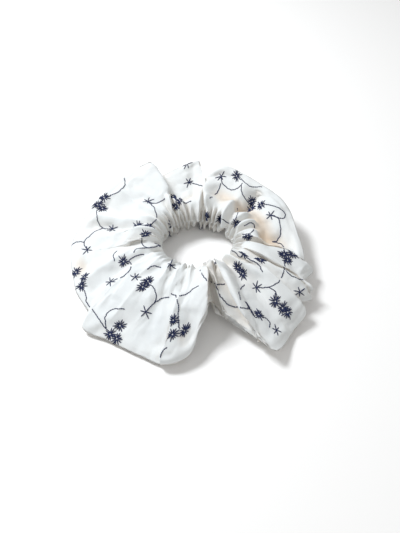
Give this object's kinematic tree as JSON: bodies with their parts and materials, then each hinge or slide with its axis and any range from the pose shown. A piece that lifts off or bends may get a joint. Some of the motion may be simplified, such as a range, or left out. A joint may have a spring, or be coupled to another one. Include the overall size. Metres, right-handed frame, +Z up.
{
  "type": "scrunchie",
  "caption": "Oversized gathered hair scrunchie: a wide white cotton flounce with navy floral embroidery, gathered on a hidden loop of flat elastic round an open centre.",
  "frame": {"origin": "centre of the relaxed hair opening, on the surface the scrunchie lies on", "axes": "+Z up along the axis of the hair opening, +Y to the side where the flounce is raised, +X the direction in which the ring is pulled open"},
  "size_m": [0.1624, 0.1529, 0.0316],
  "materials": {
    "cover_cotton": "matt plain-weave cotton lawn",
    "woven_elastic": "ribbed woven elastic",
    "sewing_thread": "twisted cotton thread",
    "embroidery_thread": "navy embroidery thread with a soft sheen"
  },
  "bodies": {
    "left_half": {"cover_left": "cover_cotton", "elastic_band": "woven_elastic", "elastic_join_stitching": "sewing_thread", "closing_seam": "sewing_thread", "long_seam_left": "sewing_thread", "embroidered_flowers_left": "embroidery_thread", "embroidered_stars_left": "embroidery_thread", "embroidered_stems_left": "embroidery_thread"},
    "right_half": {"cover_right": "cover_cotton", "long_seam_right": "sewing_thread", "embroidered_flowers_right": "embroidery_thread", "embroidered_stars_right": "embroidery_thread", "embroidered_stems_right": "embroidery_thread"}
  },
  "joints": [
    {"name": "stretch_open", "type": "slide", "parent": "left_half", "child": "right_half", "axis": [1, 0, 0], "range_m": [0, 0.075], "stiffness_N_per_m": 90, "deforming": ["elastic_band"]}
  ]
}
